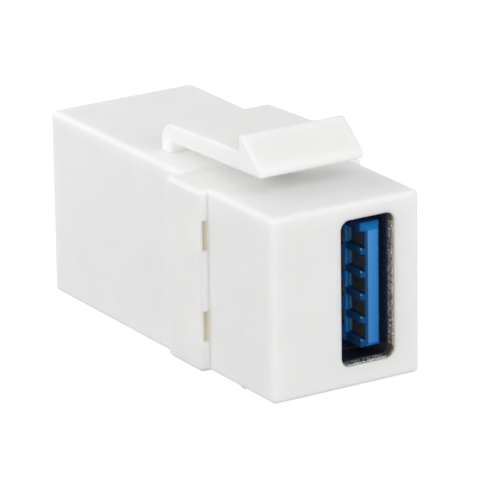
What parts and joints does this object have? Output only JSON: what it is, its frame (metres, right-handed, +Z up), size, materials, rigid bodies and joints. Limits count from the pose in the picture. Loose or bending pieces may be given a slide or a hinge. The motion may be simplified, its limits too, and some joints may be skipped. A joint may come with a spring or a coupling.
{
  "type": "keystone jack",
  "caption": "White snap-in keystone coupler: a block with side stops, a sprung latch arm on top, a hook below and an upright blue-tongued data port at each end.",
  "frame": {"origin": "under the middle of the jack, at the level of the bottom hook's lowest edge", "axes": "+X to the right as one looks at the face, +Y from the face to the rear, +Z up to the latch arm"},
  "size_m": [0.0164, 0.0362, 0.0223],
  "materials": {
    "white_housing": "satin moulded white",
    "plated_shell": "plated stamped sheet",
    "blue_insulator": "moulded blue",
    "gold_contacts": "plated spring strip",
    "board_laminate": "solder-masked laminate"
  },
  "bodies": {
    "root": {"front_body": "white_housing", "rear_housing": "white_housing", "circuit_board": "board_laminate", "front_shell": "plated_shell", "front_insulator": "blue_insulator", "front_tail_spacer": "blue_insulator", "front_vbus_contact": "gold_contacts", "front_data_minus_contact": "gold_contacts", "front_data_plus_contact": "gold_contacts", "front_ground_contact": "gold_contacts", "front_receive_minus_contact": "gold_contacts", "front_receive_plus_contact": "gold_contacts", "front_drain_contact": "gold_contacts", "front_transmit_minus_contact": "gold_contacts", "front_transmit_plus_contact": "gold_contacts", "rear_shell": "plated_shell", "rear_insulator": "blue_insulator", "rear_tail_spacer": "blue_insulator", "rear_vbus_contact": "gold_contacts", "rear_data_minus_contact": "gold_contacts", "rear_data_plus_contact": "gold_contacts", "rear_ground_contact": "gold_contacts", "rear_receive_minus_contact": "gold_contacts", "rear_receive_plus_contact": "gold_contacts", "rear_drain_contact": "gold_contacts", "rear_transmit_minus_contact": "gold_contacts", "rear_transmit_plus_contact": "gold_contacts"}
  },
  "joints": []
}
